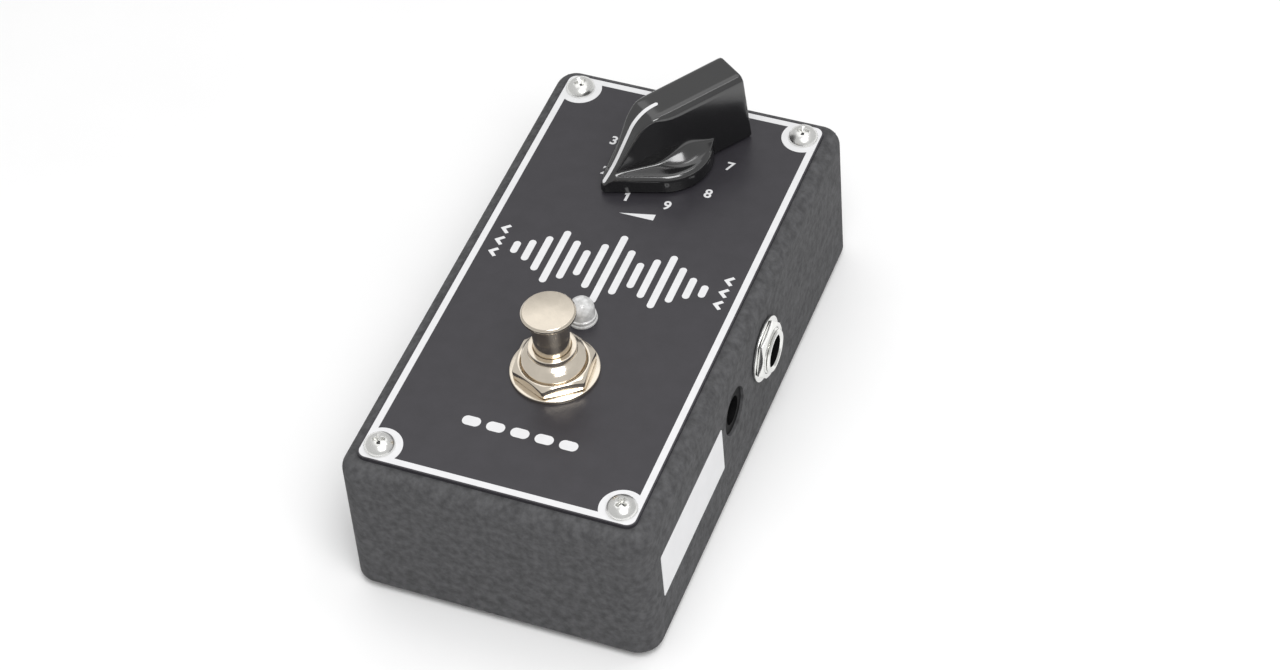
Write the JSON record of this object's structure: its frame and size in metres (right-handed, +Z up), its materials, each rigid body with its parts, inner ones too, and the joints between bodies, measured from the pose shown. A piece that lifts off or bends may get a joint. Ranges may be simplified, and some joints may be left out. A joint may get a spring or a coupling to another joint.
{
  "type": "guitar effects pedal",
  "caption": "Compact stomp box: cast housing with printed face plate, pointer knob, foot switch, indicator, phone sockets at the sides and a power socket.",
  "frame": {"origin": "on the ground, under the middle of the housing's footprint", "axes": "+X to the side with the input and power sockets, +Y along the housing towards the knob, +Z up"},
  "size_m": [0.0658, 0.1134, 0.051],
  "materials": {
    "housing_paint": "fine textured dark grey powder coat",
    "plate_paint": "satin dark grey",
    "screw_black": "black oxide, satin",
    "rubber": "matte",
    "knob_plastic": "glossy black with a white pointer line",
    "black_plastic": "matte",
    "blue_plastic": "matte",
    "nickel": "polished nickel",
    "steel": "brushed",
    "tin": "tinned",
    "brass": "turned",
    "board_green": "solder mask",
    "board_brown": "matte",
    "film_red": "satin",
    "ribbon_grey": "matte",
    "lens_clear": "clear moulded lens"
  },
  "bodies": {
    "housing": {"board_capacitors": "black_plastic", "board_film_capacitors": "film_red", "board_resistors": "board_brown", "board_ribbon": "ribbon_grey", "board_transistors": "black_plastic", "bottom_cover": "housing_paint", "cover_screws": "screw_black", "dial_bushing": "nickel", "dial_can": "steel", "dial_legs": "tin", "dial_nut": "nickel", "dial_track": "board_brown", "dial_washer": "nickel", "dial_washer_inside": "nickel", "enclosure": "housing_paint", "face_screws": "nickel", "faceplate": "plate_paint", "indicator_lamp": "lens_clear", "indicator_legs": "tin", "indicator_lens": "lens_clear", "input_jack_body": "black_plastic", "input_jack_bushing": "nickel", "input_jack_contact": "tin", "input_jack_legs": "tin", "input_jack_nut": "nickel", "input_jack_washer": "nickel", "main_board": "board_green", "output_jack_body": "black_plastic", "output_jack_bushing": "nickel", "output_jack_contact": "tin", "output_jack_legs": "tin", "output_jack_nut": "nickel", "output_jack_washer": "nickel", "power_socket_body": "black_plastic", "power_socket_pin": "nickel", "power_socket_tab": "tin", "rubber_feet": "rubber", "switch_board": "board_green", "switch_bushing": "nickel", "switch_case": "blue_plastic", "switch_inner_nut": "nickel", "switch_lock_washer": "nickel", "switch_lugs": "tin", "switch_nut": "nickel", "switch_spring": "steel", "switch_washer": "nickel"},
    "dial": {"gain_knob": "knob_plastic", "knob_insert": "brass", "knob_set_screw": "steel", "dial_shaft": "steel", "dial_wiper": "black_plastic"},
    "plunger": {"switch_plunger": "nickel"}
  },
  "joints": [
    {"name": "gain_turn", "type": "hinge", "parent": "housing", "child": "dial", "pos_m": [0, 0.0355, 0.0351], "axis": [0, 0, 1], "range_deg": [-295, 5]},
    {"name": "switch_press", "type": "slide", "parent": "housing", "child": "plunger", "axis": [0, 0, -1], "range_m": [0, 0.0025], "stiffness_N_per_m": 4000, "springref_m": -0.002, "deforming": ["switch_spring"]}
  ]
}
